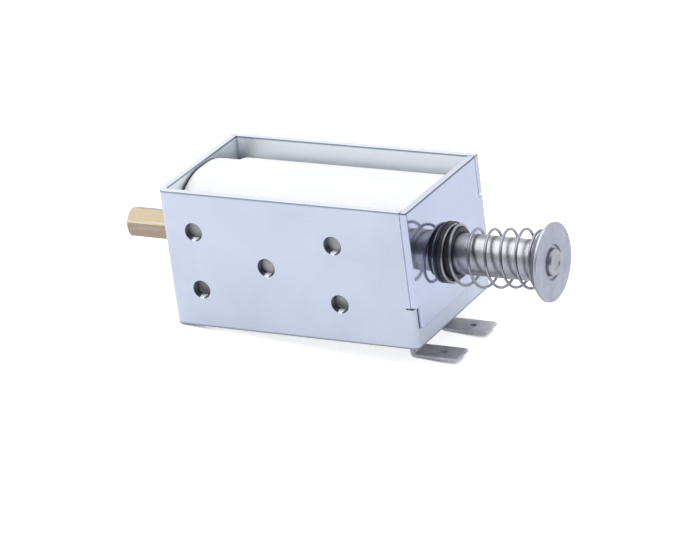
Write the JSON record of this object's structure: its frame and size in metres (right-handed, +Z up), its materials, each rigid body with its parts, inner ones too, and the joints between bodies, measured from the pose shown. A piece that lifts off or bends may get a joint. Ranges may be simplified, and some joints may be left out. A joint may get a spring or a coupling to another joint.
{
  "type": "circuit breaker closing coil",
  "caption": "Push solenoid with a white taped coil in an open plated sheet frame, a sprung plunger with a dished cap and a brass hexagonal push tip.",
  "frame": {"origin": "centre of the hole pattern, on the outer face of the front panel", "axes": "+X along the plunger towards the return spring, -Y out of the front panel, +Z up towards the open top rim"},
  "size_m": [0.1181, 0.038, 0.0416],
  "materials": {
    "plated_sheet": "bright zinc plate on mild steel sheet",
    "bright_plate": "smooth bright zinc plate",
    "white_nylon": "moulded nylon",
    "copper": "enamelled copper wire",
    "film": "polyester film",
    "white_tape": "white woven insulating tape",
    "brass": "turned brass",
    "black_nylon": "moulded black nylon",
    "fibre": "vulcanised fibre",
    "turned_steel": "turned and plated steel",
    "nut_steel": "zinc-plated steel",
    "cap_steel": "dull zinc plate on pressed steel",
    "spring_steel": "plated spring wire",
    "tinned_brass": "tinned brass strip",
    "solder": "soft solder"
  },
  "bodies": {
    "coil_body": {"front_frame": "plated_sheet", "back_panel": "plated_sheet", "end_plate": "bright_plate", "bobbin": "white_nylon", "winding": "copper", "winding_film": "film", "inner_wrap": "white_tape", "coil_wrap": "white_tape", "guide_sleeve": "brass", "guide_collar": "black_nylon", "left_end_washer": "fibre", "right_end_washer": "fibre", "fixed_core": "turned_steel", "residual_washer": "brass", "return_spring": "spring_steel", "front_terminal": "tinned_brass", "back_terminal": "tinned_brass", "front_lead": "copper", "back_lead": "copper", "solder_joints": "solder"},
    "plunger_group": {"plunger": "turned_steel", "push_rod": "turned_steel", "lock_nut": "nut_steel", "push_tip": "brass", "spring_cap": "cap_steel"}
  },
  "joints": [
    {"name": "plunger_slide", "type": "slide", "parent": "coil_body", "child": "plunger_group", "axis": [-1, 0, 0], "range_m": [0, 0.012], "stiffness_N_per_m": 300, "springref_m": -0.01, "deforming": ["return_spring"]}
  ]
}
